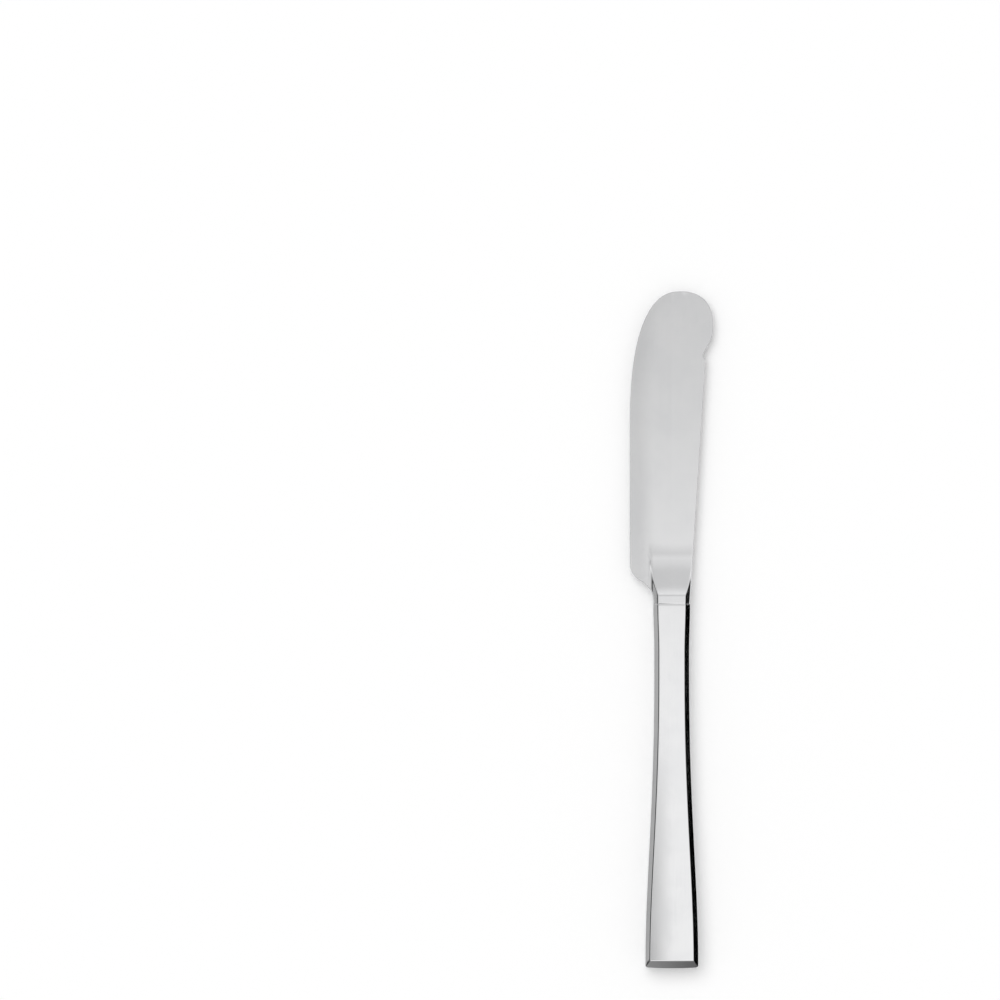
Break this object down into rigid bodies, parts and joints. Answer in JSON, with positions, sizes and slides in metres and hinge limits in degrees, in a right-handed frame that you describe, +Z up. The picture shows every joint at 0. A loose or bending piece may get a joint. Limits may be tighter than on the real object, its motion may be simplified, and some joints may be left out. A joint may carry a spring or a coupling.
{
  "type": "butter knife",
  "caption": "Butter knife, 170 mm, with a rounded notched blade and a hollow bevelled handle that widens to a squared butt.",
  "frame": {"origin": "on the surface that the knife lies on, under the middle of its length and width", "axes": "+Y from the butt towards the tip, +Z up from the surface, -X towards the cutting edge, +X towards the notched back"},
  "size_m": [0.021, 0.17, 0.0066],
  "materials": {
    "blade_steel": "polished",
    "handle_steel": "polished",
    "braze": "satin",
    "cement": "matte"
  },
  "bodies": {
    "root": {"blade": "blade_steel", "handle_front_shell": "handle_steel", "handle_back_shell": "handle_steel", "seam_solder": "braze", "handle_filler": "cement"}
  },
  "joints": []
}
